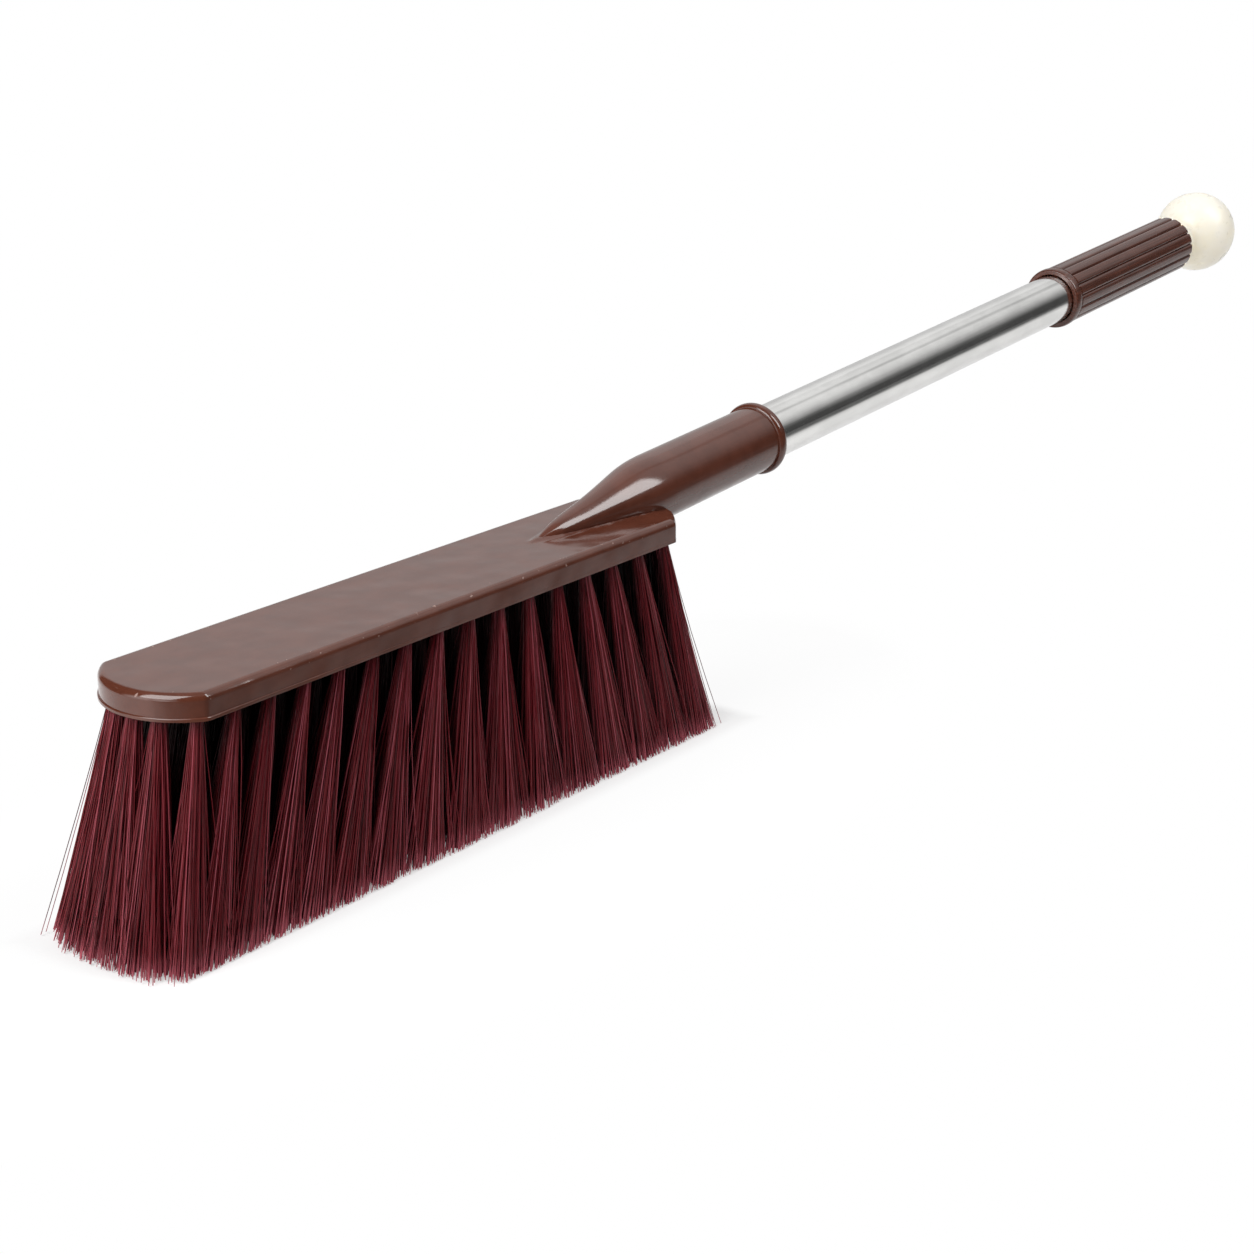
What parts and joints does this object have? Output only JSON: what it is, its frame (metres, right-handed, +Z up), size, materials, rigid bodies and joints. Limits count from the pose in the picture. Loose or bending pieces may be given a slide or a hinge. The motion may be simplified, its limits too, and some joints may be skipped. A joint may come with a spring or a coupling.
{
  "type": "long-handled carpet brush",
  "caption": "Carpet brush with a long bowed-end plastic block, dense flared tufts, a moulded sleeve, a polished steel tube, a ribbed plastic grip and a ball knob.",
  "frame": {"origin": "on the floor under the brush, halfway between the foremost bristle tips and the end of the ball knob, on the middle plane", "axes": "+X runs from the brush head along the handle to the ball knob, +Y across the head, +Z up from the bristle tips through the head"},
  "size_m": [0.6414, 0.0528, 0.1236],
  "materials": {
    "brown_plastic": "moulded, semi-gloss dark brown",
    "bristle": "fine burgundy filaments",
    "polished_steel": "polished",
    "grip_plastic": "moulded, semi-gloss dark brown",
    "ivory_plastic": "satin ivory"
  },
  "bodies": {
    "root": {"head_with_socket": "brown_plastic", "bristle_row_1": "bristle", "bristle_row_2": "bristle", "bristle_row_3": "bristle", "bristle_row_4": "bristle", "bristle_row_5": "bristle", "handle_tube": "polished_steel", "grip": "grip_plastic", "ball_knob": "ivory_plastic"}
  },
  "joints": []
}
